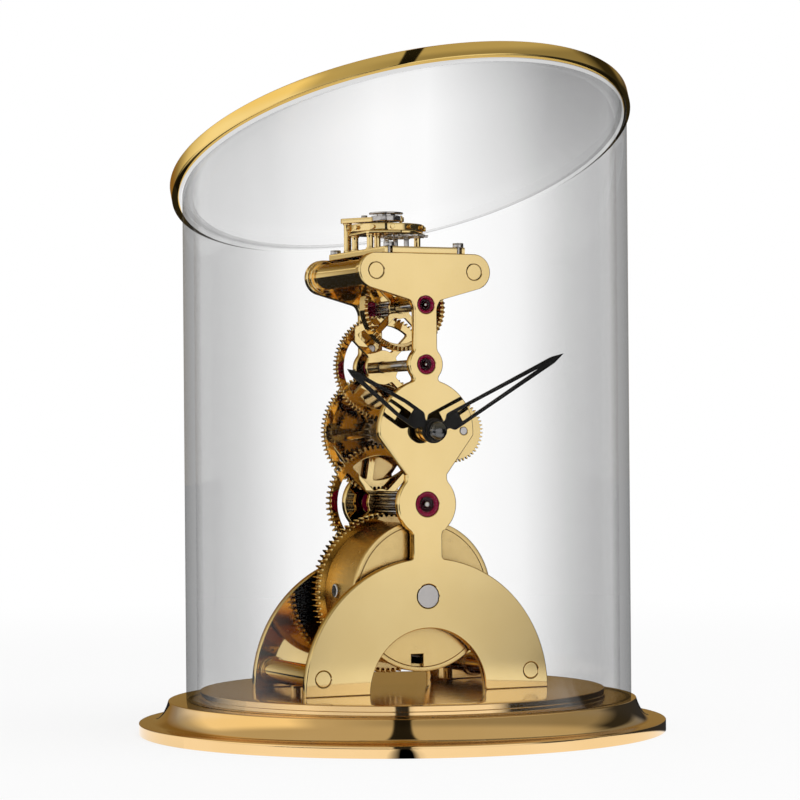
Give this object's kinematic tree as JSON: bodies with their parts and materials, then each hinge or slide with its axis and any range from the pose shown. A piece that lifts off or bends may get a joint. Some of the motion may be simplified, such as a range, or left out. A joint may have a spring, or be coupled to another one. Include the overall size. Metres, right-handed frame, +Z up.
{
  "type": "table clock",
  "caption": "Gilt skeleton table clock with an open train between arched plates, a platform escapement on top and black hands, on a round stepped base under a slant-topped glass cover.",
  "frame": {"origin": "centre of the base's underside, on the table", "axes": "+Z up; -Y is the front, where the hands are; +X is to the right of someone who faces the front"},
  "size_m": [0.168, 0.168, 0.2111],
  "materials": {
    "gilt_brass": "polished and gilt",
    "polished_steel": "polished",
    "spring_steel": "satin",
    "black_hand": "black, semi-gloss",
    "ruby": "polished",
    "clear_glass": "clear, polished",
    "green_felt": "napped"
  },
  "bodies": {
    "frame": {"base_plinth": "gilt_brass", "base_felt": "green_felt", "front_plate": "gilt_brass", "rear_plate": "gilt_brass", "upper_pillar_left": "gilt_brass", "upper_pillar_right": "gilt_brass", "lower_pillar_left": "gilt_brass", "lower_pillar_right": "gilt_brass", "base_stud_left": "gilt_brass", "base_stud_right": "gilt_brass", "front_jewel_intermediate": "ruby", "front_jewel_third": "ruby", "front_jewel_contrate": "ruby", "rear_jewel_intermediate": "ruby", "rear_jewel_centre": "ruby", "rear_jewel_third": "ruby", "rear_jewel_contrate": "ruby", "minute_stud": "polished_steel", "click_screw": "polished_steel", "click_spring": "spring_steel", "platform_plate": "gilt_brass", "platform_screw_front_left": "polished_steel", "platform_screw_front_right": "polished_steel", "platform_screw_rear_left": "polished_steel", "platform_screw_rear_right": "polished_steel", "escapement_plate": "gilt_brass", "balance_cock": "gilt_brass", "cock_screw": "polished_steel", "hairspring": "spring_steel"},
    "cover": {"glass_tube": "clear_glass", "glass_lid": "clear_glass", "lid_rim": "gilt_brass"},
    "barrel": {"barrel_drum": "gilt_brass", "barrel_hook": "polished_steel", "great_wheel": "gilt_brass", "barrel_cover": "gilt_brass", "mainspring": "spring_steel"},
    "winder": {"barrel_arbor": "polished_steel", "ratchet_wheel": "polished_steel"},
    "click_body": {"click": "polished_steel"},
    "intermediate": {"intermediate_pinion": "polished_steel", "intermediate_wheel": "gilt_brass"},
    "centre": {"centre_pinion": "polished_steel", "centre_wheel": "gilt_brass", "cannon_pinion": "polished_steel", "minute_hand": "black_hand", "hand_nut": "black_hand"},
    "third": {"third_pinion": "polished_steel", "third_wheel": "gilt_brass"},
    "contrate": {"contrate_wheel": "gilt_brass", "contrate_pinion": "polished_steel"},
    "escape": {"escape_wheel": "polished_steel", "escape_pinion": "polished_steel"},
    "minute_work": {"minute_wheel": "gilt_brass"},
    "hour": {"hour_wheel": "gilt_brass", "hour_hand": "black_hand"},
    "lever": {"pallet_lever": "polished_steel"},
    "balance": {"balance_wheel": "gilt_brass", "balance_staff": "polished_steel"},
    "regulator": {"regulator_index": "polished_steel"}
  },
  "joints": [
    {"name": "cover_lift", "type": "slide", "parent": "frame", "child": "cover", "axis": [0, 0, 1], "range_m": [0, 0.2]},
    {"name": "centre_turn", "type": "hinge", "parent": "frame", "child": "centre", "pos_m": [0, 0, 0.09539], "axis": [0, 1, 0], "continuous": true},
    {"name": "barrel_turn", "type": "hinge", "parent": "frame", "child": "barrel", "pos_m": [0, 0, 0.04355], "axis": [0, 1, 0], "continuous": true},
    {"name": "intermediate_turn", "type": "hinge", "parent": "frame", "child": "intermediate", "pos_m": [0, 0, 0.07242], "axis": [0, 1, 0], "continuous": true},
    {"name": "third_turn", "type": "hinge", "parent": "frame", "child": "third", "pos_m": [0, 0, 0.11631], "axis": [0, 1, 0], "continuous": true},
    {"name": "contrate_turn", "type": "hinge", "parent": "frame", "child": "contrate", "pos_m": [0, 0, 0.13502], "axis": [0, 1, 0], "continuous": true},
    {"name": "escape_turn", "type": "hinge", "parent": "frame", "child": "escape", "pos_m": [0, -0.0059, 0.15], "axis": [0, 0, 1], "continuous": true},
    {"name": "minute_work_turn", "type": "hinge", "parent": "frame", "child": "minute_work", "pos_m": [0.0128, 0, 0.09539], "axis": [0, 1, 0], "continuous": true},
    {"name": "hour_turn", "type": "hinge", "parent": "frame", "child": "hour", "pos_m": [0, 0, 0.09539], "axis": [0, 1, 0], "continuous": true},
    {"name": "winding_turn", "type": "hinge", "parent": "frame", "child": "winder", "pos_m": [0, 0, 0.04355], "axis": [0, 1, 0], "continuous": true},
    {"name": "click_lift", "type": "hinge", "parent": "frame", "child": "click_body", "pos_m": [-0.01064, 0.0256, 0.04798], "axis": [0, -1, 0], "range_deg": [0, 12], "stiffness_Nm_per_rad": 0.0001, "deforming": ["click_spring"]},
    {"name": "lever_rock", "type": "hinge", "parent": "frame", "child": "lever", "pos_m": [0, 0.0024, 0.156], "axis": [0, 0, 1], "range_deg": [-5, 5]},
    {"name": "balance_swing", "type": "hinge", "parent": "frame", "child": "balance", "pos_m": [0, 0.0095, 0.16], "axis": [0, 0, 1], "range_deg": [-220, 220], "stiffness_Nm_per_rad": 0.00015, "deforming": ["hairspring"]},
    {"name": "regulator_shift", "type": "hinge", "parent": "frame", "child": "regulator", "pos_m": [0, 0.0095, 0.165], "axis": [0, 0, 1], "range_deg": [-20, 20]}
  ],
  "couplings": [
    {"joint": "intermediate_turn", "follows": "centre_turn", "ratio": -0.25},
    {"joint": "barrel_turn", "follows": "centre_turn", "ratio": 0.034091},
    {"joint": "third_turn", "follows": "centre_turn", "ratio": -8},
    {"joint": "contrate_turn", "follows": "centre_turn", "ratio": 60},
    {"joint": "escape_turn", "follows": "centre_turn", "ratio": -600},
    {"joint": "minute_work_turn", "follows": "centre_turn", "ratio": -0.33333},
    {"joint": "hour_turn", "follows": "centre_turn", "ratio": 0.083333}
  ]
}
